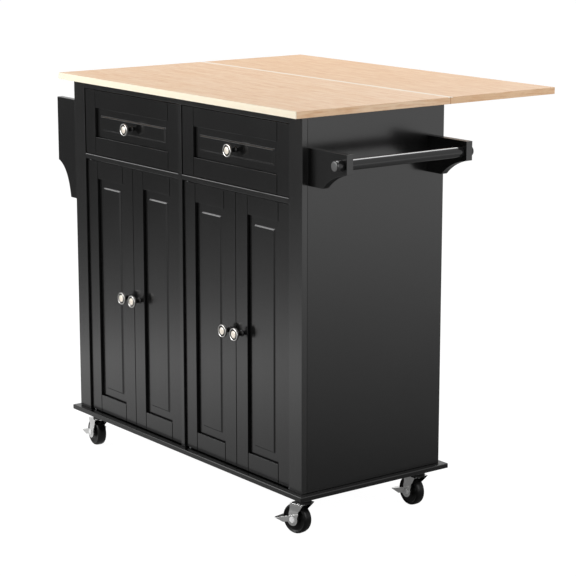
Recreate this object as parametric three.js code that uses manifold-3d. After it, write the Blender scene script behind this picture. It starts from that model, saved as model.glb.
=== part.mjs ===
// Drop leaf kitchen island on casters, with two drawers, four doors, a towel rail and a spice rack.
// Millimetres, +Z up. X runs along the width and +Y points to the back, where the leaf is.
// The model is built from the middle of the cabinet's front edge at floor level, and the last
// lines move it so that the origin is under the centre of the whole outline.
import * as THREE from 'three';
import { mergeVertices } from 'three/addons/utils/BufferGeometryUtils.js';
import Module from 'manifold-3d';

const wasm = await Module();
wasm.setup();

// ---------------------------------------------------------------- driving dimensions
const overallHeight = 925;
const seat = 0.3;                   // clearance where one piece sits on or beside another

const cabinetWidth = 896;
const cabinetDepth = 385;
const sidePanelThickness = 15;
const stileWidth = 45;
const faceFrameThickness = 14;
const topRailHeight = 17;
const dividerThickness = 13;
const deckThickness = 12;
const drawerOpeningHeight = 156.7;  // between the top rail and the board below the drawers
const shelfThickness = 15;
const shelfRise = 316;              // shelf top above the base plate
const shelfSetback = 45;            // shelf edge behind the cabinet's front
const backPanelThickness = 12;
const backRecess = 18;              // back panel set in from the side panels' rear edges

const worktopSideOverhang = 20;
const worktopThickness = 15;
const worktopFrontOverhang = 31;
const leafDepth = 310;
const seamGap = 1;

const basePlateSideOverhang = 16;
const basePlateThickness = 11;
const basePlateFrontOverhang = 14;
const basePlateBackOverhang = 15;

const frontGap = 2;                 // reveal round each door and drawer front
const doorSetback = 5;              // doors' faces behind the stiles
const drawerSetback = 2;            // drawers' faces behind the stiles
const frontThickness = 18;
const frameWidth = 41.5;            // stiles and rails of each door and drawer front
const recessDepth = 6.5;
const fieldHeight = 3;              // raised centre above the recess floor
const fieldBevel = 3.2;
const doorFieldInset = 22.5;
const drawerFieldInset = 20.5;

const doorVerticalGap = 2.5;
const pivotPinRadius = 2;
const pivotPinInset = 8;            // pin centre from the door's hinge edge
const pivotPinDepth = 4.5;          // pin centre behind the door's face
const pivotBoreDepth = 6;

const drawerSideGap = 15.25;        // between a drawer box and its opening's sides
const drawerBoxHeight = 108;
const drawerRearGap = 14.7;         // between a closed drawer box and the back panel
const drawerWall = 12;
const drawerFloor = 6;
const runnerLedge = 12;             // how far a runner reaches under the box
const runnerLedgeHeight = 6.5;
const runnerHeight = 45;
const runnerClearance = 1;          // side play between box and runner

const knobRadius = 14.5;
const knobLength = 24;
const knobStemRadius = 5.5;
const knobStemFlare = 2;
const knobRimWidth = 2.5;
const knobEdge = 3.5;               // width of the knob's outer rim along its axis
const knobBackSlope = 5;            // length of the cone from the stem to the rim
const knobDomeRadius = 8.2;
const knobDomeRise = 1;             // dome's top in front of the rim
const knobFaceDepth = 1;            // ring between rim and dome, sunk

const towelBracketThickness = 16.3;
const towelBracketReach = 124;
const towelBracketDrop = 65.3;      // brackets' top below the worktop's underside
const towelBracketHeight = 78.9;    // at the panel
const towelBracketTipHeight = 41.2; // at the outer end
const towelBracketFoot = 45;        // flat lower edge next to the panel
const towelFrontBracketY = 18;
const towelRearBracketY = 339.4;
const towelRodRadius = 11.5;
const towelRodReach = 106;          // rod centre from the panel
const towelRodDrop = 23.7;          // rod centre below the brackets' top
const towelRodFrontEnd = 18.5;      // bare rod past the front bracket
const towelRodRearEnd = 11;         // bare rod past the rear bracket

const spiceEndThickness = 15;
const spiceReach = 80;
const spiceDrop = 50;               // end boards' top below the worktop's underside
const spiceHeight = 240;
const spiceStraightHeight = 154;    // full-depth part of the end boards
const spiceFoot = 26;               // depth left at the bottom
const spiceShelfThickness = 12;
const spiceRailThickness = 10;
const spiceRailHeight = 22;
const spiceRailLift = 34;           // rail's lower edge above the shelf

const casterWheelRadius = 33.5;
const casterWheelWidth = 22.5;
const wheelHubRadius = 11;
const wheelRimRadius = 28.5;
const wheelDish = 2.5;              // side faces sunk between hub and rim
const treadShoulder = 1.5;
const casterTrail = 19;
const casterInsetX = 50;            // swivel centre from the base plate's ends
const casterInsetY = 46.8;          // swivel centre from the base plate's long edges
const wheelTopGap = 2.5;            // between the wheel and the hood over it
const frontLeftTurn = -7 * Math.PI / 180;
const frontRightTurn = 12 * Math.PI / 180;
const casterPlateLength = 64;
const casterPlateWidth = 50;
const casterPlateThickness = 2.5;
const casterBossRadius = 17;
const casterBossHeight = 5.5;
const kingpinRadius = 4;
const kingpinHeadRadius = 7;
const kingpinHeadHeight = 3;
const raceRadius = 17;
const raceHeight = 12.4;
const forkThickness = 2.5;          // sheet of the hood and the legs
const hoodHalfWidth = 20;
const hoodFront = 14;               // hood's front and rear edges from the swivel axis
const hoodRear = 23;
const flareHeight = 19;             // height over which the legs spread into the hood
const legNeckX = -3.5;              // legs' front edge below the flare
const forkHubRadius = 12;
const wheelSideGap = 1.5;
const axleRadius = 4;
const axleHeadRadius = 7;
const axleHeadThickness = 2.5;
const leverThickness = 2;
const leverHubRadius = 14;
const leverToe = [17, 15];          // cheeks' front tip from the axle, in x and z
const leverBack = [-16, 5];
const leverHeel = [-26, -11];
const pedalClearance = 5;           // between the wheel and the pedal
const pedalWidth = 14;
const pedalDrop = 5;                // pedal's top below the axle

const hingePinRadius = 1.3;
const hingeEarWall = 1.1;
const supportX = 270;               // leaf supports left and right of the middle
const guideWall = 2;
const guideFlangeDepth = 15;
const guideTail = 4;                // guide past the strut's foot when the leaf hangs
const guideSplay = 22;              // height over which the flanges widen to the hinge ears
const armWall = 1.5;
const armPivotEdge = 4;             // arm's flanges past the strut pivot
const armFlangeHeight = 11;
const strutPivotReach = 120;        // strut pivot from the leaf hinge
const strutLine = 6.4;              // strut's folded line in front of the hinge axis, inwards
const strutPinRadius = 2;
const strutWidth = 7.5;
const supportSideGap = 1.5;         // side play between strut, arm and guide
const strutHeight = 7;
const boreClearance = 0.3;

const roundSegments = 20;
const wheelSegments = 32;
const curveSegments = 12;
const overlap = 1;                  // how far joined shapes are sunk into each other

// ---------------------------------------------------------------- derived places
const hoodUnderside = 2 * casterWheelRadius + wheelTopGap;     // casters from the floor up
const hoodTop = hoodUnderside + forkThickness;
const raceTop = hoodTop + raceHeight;
const casterBossBottom = raceTop + seat;
const casterBossTop = casterBossBottom + casterBossHeight;
const casterPlateTop = casterBossTop + casterPlateThickness;
const casterHeight = casterPlateTop + seat;
const halfCabinet = cabinetWidth / 2;
const halfWorktop = halfCabinet + worktopSideOverhang;
const halfBasePlate = halfCabinet + basePlateSideOverhang;
const basePlateTop = casterHeight + basePlateThickness;
const worktopUnderside = overallHeight - worktopThickness;
const carcassBottom = basePlateTop + seat;
const carcassTop = worktopUnderside - seat;
const panelInnerX = halfCabinet - sidePanelThickness;
const openingOuterX = halfCabinet - stileWidth;
const halfDivider = dividerThickness / 2;
const openingWidth = openingOuterX - halfDivider;
const openingMiddleX = (openingOuterX + halfDivider) / 2;
const backPanelRearY = cabinetDepth - backRecess;
const backPanelFrontY = backPanelRearY - backPanelThickness;
const topRailUnderside = carcassTop - topRailHeight;
const deckTop = topRailUnderside - drawerOpeningHeight;
const deckUnderside = deckTop - deckThickness;
const shelfTop = basePlateTop + shelfRise;
const hingeEarRadius = hingePinRadius + boreClearance + hingeEarWall;
const hingeDrop = hingeEarRadius + seat;
const hingeY = cabinetDepth;
const hingeZ = worktopUnderside - hingeDrop;
const fieldFaceDepth = recessDepth - fieldHeight;

// ---------------------------------------------------------------- materials
function finish(color, roughness, metalness) {
  return new THREE.MeshStandardMaterial({ color, roughness, metalness });
}

const blackPaint = finish(0x2c2c2d, 0.45, 0);
const paleWood = finish(0xdcc09a, 0.5, 0);
const drawerWood = finish(0xcbb38c, 0.6, 0);
const nickel = finish(0xc6c5c2, 0.25, 1);
const glossBlack = finish(0x1b1b1c, 0.2, 0);
const zincSteel = finish(0xaeb0b1, 0.4, 1);
const blackRubber = finish(0x141414, 0.5, 0);

// ---------------------------------------------------------------- shape helpers
// Turns a geometry's faces outwards if its signed volume is negative.
function faceOutwards(geometry) {
  const position = geometry.getAttribute('position');
  const index = geometry.getIndex();
  const corner = [new THREE.Vector3(), new THREE.Vector3(), new THREE.Vector3()];
  let volume = 0;
  for (let i = 0; i < index.count; i += 3) {
    corner.forEach((point, k) => point.fromBufferAttribute(position, index.getX(i + k)));
    volume += corner[0].dot(corner[1].clone().cross(corner[2]));
  }
  if (volume < 0) {
    for (let i = 0; i < index.count; i += 3) {
      const first = index.getX(i);
      index.setX(i, index.getX(i + 1));
      index.setX(i + 1, first);
    }
  }
  return geometry;
}

function toSolid(geometry) {
  const bare = geometry.clone();
  bare.deleteAttribute('normal');
  bare.deleteAttribute('uv');
  const merged = faceOutwards(mergeVertices(bare, 1e-4));
  return new wasm.Manifold(new wasm.Mesh({
    numProp: 3,
    vertProperties: new Float32Array(merged.getAttribute('position').array),
    triVerts: new Uint32Array(merged.getIndex().array),
  }));
}

function toGeometry(solid) {
  const { vertProperties, triVerts } = solid.getMesh();
  const geometry = new THREE.BufferGeometry();
  geometry.setAttribute('position', new THREE.BufferAttribute(vertProperties, 3));
  geometry.setIndex(new THREE.BufferAttribute(triVerts, 1));
  geometry.computeVertexNormals();
  return geometry;
}

// The first geometry joined with the others.
function join(first, ...others) {
  return toGeometry(others.reduce((solid, other) => solid.add(toSolid(other)), toSolid(first)));
}

// The first geometry with the others cut away.
function cut(first, ...others) {
  return toGeometry(others.reduce((solid, other) => solid.subtract(toSolid(other)), toSolid(first)));
}

function mesh(name, material, geometry, [x, y, z] = [0, 0, 0]) {
  const piece = new THREE.Mesh(geometry, material);
  piece.name = name;
  piece.position.set(x, y, z);
  return piece;
}

// A box between two limits along each axis.
function block([x0, x1], [y0, y1], [z0, z1]) {
  const box = new THREE.BoxGeometry(Math.abs(x1 - x0), Math.abs(y1 - y0), Math.abs(z1 - z0));
  return box.translate((x0 + x1) / 2, (y0 + y1) / 2, (z0 + z1) / 2);
}

function board(name, material, xs, ys, zs) {
  const middle = [xs, ys, zs].map(([low, high]) => (low + high) / 2);
  const size = [xs, ys, zs].map(([low, high]) => Math.abs(high - low));
  return mesh(name, material, new THREE.BoxGeometry(...size), middle);
}

const outline = (points) => new THREE.Shape(points.map(([u, v]) => new THREE.Vector2(u, v)));

// Extrudes an outline along an axis from one place to another. The outline's two coordinates
// are (y, z) along x, (x, z) along y and (x, y) along z.
const outlineBasis = {
  x: [[0, 1, 0], [0, 0, 1], [1, 0, 0]],
  y: [[1, 0, 0], [0, 0, 1], [0, -1, 0]],
  z: [[1, 0, 0], [0, 1, 0], [0, 0, 1]],
};

function extrude(shape, axis, from, to) {
  const depth = to - from;
  const geometry = new THREE.ExtrudeGeometry(shape, { depth, bevelEnabled: false, curveSegments });
  const basis = outlineBasis[axis].map((vector) => new THREE.Vector3(...vector));
  geometry.applyMatrix4(new THREE.Matrix4().makeBasis(...basis));
  const shift = { x: [from, 0, 0], y: [0, to, 0], z: [0, 0, from] }[axis];
  return geometry.translate(...shift);
}

// A cylinder along an axis, from one place on it to another, centred on the two other coordinates.
function rod(axis, radius, from, to, [u, v], segments = roundSegments) {
  const geometry = new THREE.CylinderGeometry(radius, radius, to - from, segments);
  const middle = (from + to) / 2;
  if (axis === 'x') return geometry.rotateZ(Math.PI / 2).translate(middle, u, v);
  if (axis === 'y') return geometry.translate(u, middle, v);
  return geometry.rotateX(Math.PI / 2).translate(u, v, middle);
}

// A body turned about the Y axis from (radius, y) points that start and end on the axis, or
// close on themselves.
function turned(profile, segments) {
  const points = profile.map(([radius, y]) => new THREE.Vector2(radius, y));
  return toGeometry(toSolid(new THREE.LatheGeometry(points, segments)));
}

// ---------------------------------------------------------------- cabinet
// A board that is narrower between the stiles than behind them, on one side of the divider.
function notchedBoard(side, innerX, rearY) {
  const frontOuterX = openingOuterX - seat;
  const rearOuterX = panelInnerX - seat;
  const stileBackY = faceFrameThickness + seat;
  const points = [
    [innerX, 0], [frontOuterX, 0], [frontOuterX, stileBackY],
    [rearOuterX, stileBackY], [rearOuterX, rearY], [innerX, rearY],
  ];
  return outline(points.map(([x, y]) => [side * x, y]));
}

// Centres of the door pins, as X places on the cabinet's front.
const hingeEdges = [
  { hingeX: -openingOuterX + frontGap, towards: 1 },
  { hingeX: -halfDivider - frontGap, towards: -1 },
  { hingeX: halfDivider + frontGap, towards: 1 },
  { hingeX: openingOuterX - frontGap, towards: -1 },
];
const pinX = ({ hingeX, towards }) => hingeX + towards * pivotPinInset;
const pinY = doorSetback + pivotPinDepth;

function pivotBore(edge, from, to) {
  return rod('z', pivotPinRadius + boreClearance, from, to, [pinX(edge), pinY]);
}

function basePlate() {
  const plate = block(
    [-halfBasePlate, halfBasePlate],
    [-basePlateFrontOverhang, cabinetDepth + basePlateBackOverhang],
    [casterHeight, basePlateTop],
  );
  const boreBottom = basePlateTop - pivotBoreDepth;
  const bores = hingeEdges.map((edge) => pivotBore(edge, boreBottom, basePlateTop + overlap));
  return mesh('base_plate', blackPaint, cut(plate, ...bores));
}

function deck(name, side, edges) {
  const rearY = backPanelFrontY - seat;
  const innerX = halfDivider + seat;
  const plate = extrude(notchedBoard(side, innerX, rearY), 'z', deckUnderside, deckTop);
  const bores = edges.map((edge) => pivotBore(edge, deckUnderside - overlap, deckUnderside + pivotBoreDepth));
  return mesh(name, blackPaint, cut(plate, ...bores));
}

function cabinet() {
  const group = new THREE.Group();
  group.add(basePlate());
  const height = [carcassBottom, carcassTop];
  for (const [label, side] of [['left', -1], ['right', 1]]) {
    const panelXs = [side * panelInnerX, side * halfCabinet];
    const stileXs = [side * openingOuterX, side * halfCabinet];
    const panelYs = [faceFrameThickness + seat, cabinetDepth];
    group.add(board(`${label}_side_panel`, blackPaint, panelXs, panelYs, height));
    group.add(board(`${label}_stile`, blackPaint, stileXs, [0, faceFrameThickness], height));
    group.add(deck(`${label}_drawer_deck`, side, side < 0 ? hingeEdges.slice(0, 2) : hingeEdges.slice(2)));
    const shelfXs = [side * (halfDivider + seat), side * (panelInnerX - seat)];
    const shelfYs = [shelfSetback, backPanelFrontY - seat];
    group.add(board(`${label}_shelf`, blackPaint, shelfXs, shelfYs, [shelfTop - shelfThickness, shelfTop]));
  }
  const railHalf = openingOuterX - seat;
  group.add(board('top_rail', blackPaint, [-railHalf, railHalf], [0, faceFrameThickness],
    [topRailUnderside, carcassTop]));
  const railBackY = faceFrameThickness + seat;
  const dividerRearY = backPanelFrontY - seat;
  const divider = outline([
    [0, carcassBottom], [dividerRearY, carcassBottom], [dividerRearY, carcassTop],
    [railBackY, carcassTop], [railBackY, topRailUnderside - seat], [0, topRailUnderside - seat],
  ]);
  group.add(mesh('center_divider', blackPaint, extrude(divider, 'x', -halfDivider, halfDivider)));
  const backHalf = panelInnerX - seat;
  const backYs = [backPanelFrontY, backPanelRearY];
  group.add(board('back_panel', blackPaint, [-backHalf, backHalf], backYs, height));
  return group;
}

// ---------------------------------------------------------------- worktop and leaf
function worktop() {
  const height = [worktopUnderside, overallHeight];
  const group = new THREE.Group();
  group.add(board('worktop', paleWood, [-halfWorktop, halfWorktop],
    [-worktopFrontOverhang, cabinetDepth - seamGap / 2], height));
  const leafFrontY = cabinetDepth + seamGap / 2;
  group.add(board('drop_leaf', paleWood, [-halfWorktop, halfWorktop],
    [leafFrontY, leafFrontY + leafDepth], height));
  return group;
}

// ---------------------------------------------------------------- leaf supports
// Each support is built about the leaf's hinge axis: y outwards from the axis, z upwards.
const strutPivot = { y: strutPivotReach, z: -strutLine };
// The raised strut stands at 45 degrees, so its foot is as far below the pivot as it is inwards.
const strutRun = strutPivotReach + strutLine;
const strutLength = strutRun * Math.SQRT2;
const armInnerWidth = strutWidth + 2 * supportSideGap;
const guideInnerWidth = armInnerWidth + 2 * armWall + 2 * supportSideGap;
const guideWallY = -backRecess + seat;
const strutRollerRadius = -strutLine - guideWallY - guideWall - seat;
const guideBottomZ = -(strutPivotReach + strutLength + strutRollerRadius + guideTail);

// An outline in (y, z) with a round end about the hinge axis, on its outer or its inner side.
function earOutline(points, roundInwards) {
  const shape = outline(points);
  shape.absarc(0, 0, hingeEarRadius, -Math.PI / 2, Math.PI / 2, roundInwards);
  return shape;
}

function guide(name) {
  const earTop = hingeEarRadius;
  const flangeY = guideWallY + guideFlangeDepth;
  const halfInner = guideInnerWidth / 2;
  const side = earOutline([
    [0, earTop], [guideWallY, earTop], [guideWallY, guideBottomZ], [flangeY, guideBottomZ],
    [flangeY, -guideSplay], [0, -hingeEarRadius],
  ], false);
  const web = block([-halfInner - guideWall, halfInner + guideWall], [guideWallY, guideWallY + guideWall],
    [guideBottomZ, earTop]);
  const flanges = [-halfInner - guideWall, halfInner].map((x) => extrude(side, 'x', x, x + guideWall));
  const reach = halfInner + guideWall + overlap;
  const pinBore = rod('x', hingePinRadius + boreClearance, -reach, reach, [0, 0]);
  return mesh(name, zincSteel, cut(join(web, ...flanges), pinBore));
}

function arm(name) {
  const halfInner = armInnerWidth / 2;
  const topZ = hingeEarRadius;
  const endY = strutPivot.y + armFlangeHeight;
  const tailY = hingeEarRadius + seat;
  const flangeTop = topZ - armWall / 2;
  const flangeBottom = strutPivot.z - armPivotEdge;
  const flange = earOutline([
    [0, flangeTop], [endY, flangeTop], [endY, flangeBottom], [strutPivot.y - armFlangeHeight, flangeBottom],
    [strutPivot.y - 2 * armFlangeHeight, -hingeEarRadius], [0, -hingeEarRadius],
  ], true);
  const web = block([-halfInner - armWall, halfInner + armWall], [tailY, endY], [topZ - armWall, topZ]);
  const flanges = [-halfInner - armWall, halfInner].map((x) => extrude(flange, 'x', x, x + armWall));
  const pinHalf = guideInnerWidth / 2 + guideWall;
  const hingePin = rod('x', hingePinRadius, -pinHalf, pinHalf, [0, 0]);
  const pivotHalf = halfInner + armWall / 2;
  const pivotPin = rod('x', strutPinRadius, -pivotHalf, pivotHalf, [strutPivot.y, strutPivot.z]);
  return mesh(name, zincSteel, join(web, ...flanges, hingePin, pivotPin));
}

// The strut lies along -Y of its own frame from the pivot, and its foot is a roller.
function strut(name) {
  const halfWidth = strutWidth / 2;
  const bar = block([-halfWidth, halfWidth], [-strutLength, 0], [-strutHeight / 2, strutHeight / 2]);
  const eye = rod('x', strutHeight / 2, -halfWidth, halfWidth, [0, 0]);
  const roller = rod('x', strutRollerRadius, -halfWidth, halfWidth, [-strutLength, 0]);
  const reach = halfWidth + overlap;
  const bore = rod('x', strutPinRadius + boreClearance, -reach, reach, [0, 0]);
  const piece = mesh(name, zincSteel, cut(join(bar, eye, roller), bore), [0, strutPivot.y, strutPivot.z]);
  piece.rotation.x = Math.PI / 4;
  return piece;
}

function leafSupport(label, x) {
  const group = new THREE.Group();
  group.add(guide(`${label}_leaf_guide`), arm(`${label}_leaf_arm`), strut(`${label}_leaf_strut`));
  group.position.set(x, hingeY, hingeZ);
  return group;
}

// ---------------------------------------------------------------- doors and drawers
// A framed front with a raised field, centred on x and z, its face at y = 0.
function framedFront(width, height, fieldInset) {
  const slab = block([-width / 2, width / 2], [0, frontThickness], [-height / 2, height / 2]);
  const recessX = width / 2 - frameWidth;
  const recessZ = height / 2 - frameWidth;
  const recess = block([-recessX, recessX], [-overlap, recessDepth], [-recessZ, recessZ]);
  const fieldX = recessX - fieldInset + fieldBevel;
  const fieldZ = recessZ - fieldInset + fieldBevel;
  const rearY = recessDepth + overlap;
  const field = block([-fieldX, fieldX], [fieldFaceDepth, rearY], [-fieldZ, fieldZ]);
  // The field's front edges are drawn in by the bevel.
  const corners = field.getAttribute('position');
  for (let i = 0; i < corners.count; i += 1) {
    if (corners.getY(i) > fieldFaceDepth + fieldHeight / 2) continue;
    corners.setX(i, corners.getX(i) - Math.sign(corners.getX(i)) * fieldBevel);
    corners.setZ(i, corners.getZ(i) - Math.sign(corners.getZ(i)) * fieldBevel);
  }
  return toSolid(slab).subtract(toSolid(recess)).add(toSolid(field));
}

// A knob on the surface at y = 0, pointing to -Y.
function knob(name) {
  const rimInner = knobRadius - knobRimWidth;
  const domeTopY = -knobLength;
  const rimY = domeTopY + knobDomeRise;
  const rimBackY = rimY + knobEdge;
  const profile = [
    [0, 0], [knobStemRadius + knobStemFlare, 0], [knobStemRadius, -knobStemFlare],
    [knobStemRadius, rimBackY + knobBackSlope], [knobRadius, rimBackY], [knobRadius, rimY],
    [rimInner, rimY], [knobDomeRadius, rimY + knobFaceDepth],
    [knobDomeRadius * 0.6, domeTopY + knobDomeRise / 3], [0, domeTopY],
  ];
  return mesh(name, nickel, turned(profile, roundSegments));
}

const doorWidth = (openingWidth - 3 * frontGap) / 2;
const doorBottom = basePlateTop + doorVerticalGap;
const doorTop = deckUnderside - doorVerticalGap;

function door(number, edge) {
  const height = doorTop - doorBottom;
  const front = framedFront(doorWidth, height, doorFieldInset);
  const localPinX = edge.towards * (pivotPinInset - doorWidth / 2);
  const pinLength = doorVerticalGap + pivotBoreDepth - seat;
  const half = height / 2;
  const pins = [[-half - pinLength, -half + overlap], [half - overlap, half + pinLength]].map(
    ([from, to]) => toSolid(rod('z', pivotPinRadius, from, to, [localPinX, pivotPinDepth])));
  const panel = toGeometry(pins.reduce((solid, pin) => solid.add(pin), front));
  const handle = knob(`door_${number}_knob`);
  handle.position.set(edge.towards * (doorWidth / 2 - frameWidth / 2), -seat, 0);
  const group = new THREE.Group();
  group.add(mesh(`door_${number}`, blackPaint, panel), handle);
  group.position.set(edge.hingeX + edge.towards * doorWidth / 2, doorSetback, (doorBottom + doorTop) / 2);
  return group;
}

const drawerFrontWidth = openingWidth - 2 * frontGap;
const drawerFrontBottom = deckTop + frontGap;
const drawerFrontTop = topRailUnderside - frontGap;
const drawerBoxBottom = deckTop + seat + runnerLedgeHeight + seat;
const drawerBoxFrontY = drawerSetback + frontThickness + seat;
const drawerBoxLength = backPanelFrontY - drawerRearGap - drawerBoxFrontY;
const halfDrawerBox = openingWidth / 2 - drawerSideGap;

function drawer(label, side) {
  const middleX = side * openingMiddleX;
  const height = drawerFrontTop - drawerFrontBottom;
  const front = toGeometry(framedFront(drawerFrontWidth, height, drawerFieldInset));
  const frontMiddle = [middleX, drawerSetback, (drawerFrontTop + drawerFrontBottom) / 2];
  const shell = block([-halfDrawerBox, halfDrawerBox], [0, drawerBoxLength], [0, drawerBoxHeight]);
  const insideHalf = halfDrawerBox - drawerWall;
  const inside = block([-insideHalf, insideHalf], [drawerWall, drawerBoxLength - drawerWall],
    [drawerFloor, drawerBoxHeight + overlap]);
  const group = new THREE.Group();
  const handle = knob(`${label}_drawer_knob`);
  handle.position.set(middleX, drawerSetback + fieldFaceDepth - seat, frontMiddle[2]);
  group.add(mesh(`${label}_drawer_front`, blackPaint, front, frontMiddle), handle,
    mesh(`${label}_drawer_box`, drawerWood, cut(shell, inside), [middleX, drawerBoxFrontY, drawerBoxBottom]));
  return group;
}

// An L-shaped runner between a wall and a drawer box, with a ledge that carries the box.
function runner(name, wallX, boxSideX) {
  const towards = Math.sign(boxSideX - wallX);
  const bottom = deckTop + seat;
  const nearWall = wallX + towards * seat;
  const nearBox = boxSideX - towards * runnerClearance;
  const ledgeX = boxSideX + towards * runnerLedge;
  const profile = outline([
    [nearWall, bottom], [ledgeX, bottom], [ledgeX, bottom + runnerLedgeHeight],
    [nearBox, bottom + runnerLedgeHeight], [nearBox, bottom + runnerHeight],
    [nearWall, bottom + runnerHeight],
  ]);
  return mesh(name, drawerWood, extrude(profile, 'y', drawerBoxFrontY, backPanelFrontY - seat));
}

function fronts() {
  const group = new THREE.Group();
  hingeEdges.forEach((edge, i) => group.add(door(i + 1, edge)));
  for (const [label, side] of [['left', -1], ['right', 1]]) {
    group.add(drawer(label, side));
    const [innerSideX, outerSideX] = [openingMiddleX - halfDrawerBox, openingMiddleX + halfDrawerBox];
    group.add(runner(`${label}_drawer_outer_runner`, side * panelInnerX, side * outerSideX));
    group.add(runner(`${label}_drawer_inner_runner`, side * halfDivider, side * innerSideX));
  }
  return group;
}

// ---------------------------------------------------------------- towel rail
const towelBracketTop = worktopUnderside - towelBracketDrop;

function towelBracket(name, frontY) {
  const panelX = halfCabinet + seat;
  const outerX = halfCabinet + towelBracketReach;
  const bottom = towelBracketTop - towelBracketHeight;
  const tipBottom = towelBracketTop - towelBracketTipHeight;
  const footX = halfCabinet + towelBracketFoot;
  const shape = new THREE.Shape();
  shape.moveTo(panelX, towelBracketTop);
  shape.lineTo(panelX, bottom);
  shape.lineTo(footX, bottom);
  // The cove under the bracket rises steeply from the foot and runs out nearly level at the tip.
  const rise = tipBottom - bottom;
  shape.quadraticCurveTo(footX + rise * 0.78, tipBottom - rise * 0.2, outerX, tipBottom);
  shape.lineTo(outerX, towelBracketTop);
  const hole = new THREE.Path();
  hole.absarc(halfCabinet + towelRodReach, towelBracketTop - towelRodDrop, towelRodRadius + boreClearance,
    0, 2 * Math.PI, true);
  shape.holes.push(hole);
  return mesh(name, blackPaint, extrude(shape, 'y', frontY, frontY + towelBracketThickness));
}

function towelRail() {
  const group = new THREE.Group();
  group.add(towelBracket('towel_bracket_front', towelFrontBracketY));
  group.add(towelBracket('towel_bracket_rear', towelRearBracketY));
  const centre = [halfCabinet + towelRodReach, towelBracketTop - towelRodDrop];
  const bar = rod('y', towelRodRadius, towelFrontBracketY - towelRodFrontEnd,
    towelRearBracketY + towelBracketThickness + towelRodRearEnd, centre);
  group.add(mesh('towel_rod', glossBlack, bar));
  return group;
}

// ---------------------------------------------------------------- spice rack
const spiceTop = worktopUnderside - spiceDrop;

function spiceEnd(name, frontY) {
  const panelX = -halfCabinet - seat;
  const outerX = -halfCabinet - spiceReach;
  const footX = -halfCabinet - spiceFoot;
  const bottom = spiceTop - spiceHeight;
  const straightBottom = spiceTop - spiceStraightHeight;
  const coveHeight = straightBottom - bottom;
  const shape = new THREE.Shape();
  shape.moveTo(panelX, bottom);
  shape.lineTo(panelX, spiceTop);
  shape.lineTo(outerX, spiceTop);
  shape.lineTo(outerX, straightBottom);
  shape.quadraticCurveTo(footX - coveHeight / 8, straightBottom - coveHeight / 6, footX, bottom);
  return mesh(name, blackPaint, extrude(shape, 'y', frontY, frontY + spiceEndThickness));
}

function spiceRack() {
  const rearY = cabinetDepth - spiceEndThickness;
  const innerYs = [spiceEndThickness + seat, rearY - seat];
  const outerX = -halfCabinet - spiceReach;
  const rackShelfTop = spiceTop - spiceStraightHeight + spiceShelfThickness;
  const railBottom = rackShelfTop + spiceRailLift;
  const group = new THREE.Group();
  group.add(spiceEnd('spice_rack_front_end', 0), spiceEnd('spice_rack_rear_end', rearY));
  group.add(board('spice_rack_shelf', blackPaint, [outerX, -halfCabinet - seat], innerYs,
    [rackShelfTop - spiceShelfThickness, rackShelfTop]));
  group.add(board('spice_rack_rail', blackPaint, [outerX, outerX + spiceRailThickness], innerYs,
    [railBottom, railBottom + spiceRailHeight]));
  return group;
}

// ---------------------------------------------------------------- casters
// Each caster is built about its swivel axis, with z = 0 on the floor and the wheel trailing to -X.
const legInnerY = casterWheelWidth / 2 + wheelSideGap;
const legOuterY = legInnerY + forkThickness;
const leverInnerY = legOuterY + seat;
const leverOuterY = leverInnerY + leverThickness;

function casterPlate(name) {
  const halfLength = casterPlateLength / 2;
  const halfWidth = casterPlateWidth / 2;
  const plate = block([-halfLength, halfLength], [-halfWidth, halfWidth], [casterBossTop, casterPlateTop]);
  const boss = rod('z', casterBossRadius, casterBossBottom, casterBossTop + overlap, [0, 0]);
  const headTop = hoodUnderside - seat;
  const kingpin = rod('z', kingpinRadius, headTop - overlap, casterBossBottom + overlap, [0, 0]);
  const head = rod('z', kingpinHeadRadius, headTop - kingpinHeadHeight, headTop, [0, 0]);
  return mesh(name, nickel, join(plate, boss, kingpin, head));
}

// The fork's section in (y, z): a hood over the wheel that narrows into two upright legs.
function forkSection() {
  const flareBottom = hoodTop - flareHeight;
  const hubBottom = casterWheelRadius - forkHubRadius;
  const side = (y) => [
    [y * (hoodHalfWidth - forkThickness), hoodUnderside], [y * legInnerY, flareBottom],
    [y * legInnerY, hubBottom], [y * legOuterY, hubBottom], [y * legOuterY, flareBottom],
    [y * hoodHalfWidth, hoodTop],
  ];
  return outline([...side(-1), ...side(1).reverse()]);
}

// The fork's side view in (x, z), from the hood down to a round hub about the axle.
function forkSide() {
  const shape = new THREE.Shape();
  shape.moveTo(hoodFront, hoodTop + overlap);
  shape.lineTo(-hoodRear, hoodTop + overlap);
  shape.lineTo(-casterTrail - forkHubRadius, casterWheelRadius + forkHubRadius);
  shape.absarc(-casterTrail, casterWheelRadius, forkHubRadius, Math.PI, 2 * Math.PI + Math.PI / 6, false);
  shape.lineTo(legNeckX, hoodTop - flareHeight);
  return shape;
}

function fork(name, hasLever) {
  const sheet = toSolid(extrude(forkSection(), 'x', -casterTrail - forkHubRadius, hoodFront))
    .intersect(toSolid(extrude(forkSide(), 'y', -hoodHalfWidth, hoodHalfWidth)));
  const race = rod('z', raceRadius, hoodTop - overlap, raceTop, [0, 0]);
  const kingpinBore = rod('z', kingpinRadius + boreClearance, hoodUnderside - overlap, raceTop + overlap, [0, 0]);
  const headInnerY = hasLever ? leverOuterY + seat : legOuterY;
  const headOuterY = headInnerY + axleHeadThickness;
  const axle = rod('y', axleRadius, -headOuterY, headOuterY, [-casterTrail, casterWheelRadius]);
  const heads = [[-headOuterY, -headInnerY], [headInnerY, headOuterY]].map(
    ([from, to]) => rod('y', axleHeadRadius, from, to, [-casterTrail, casterWheelRadius]));
  const upper = cut(join(toGeometry(sheet), race), kingpinBore);
  return mesh(name, nickel, join(upper, axle, ...heads));
}

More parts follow.
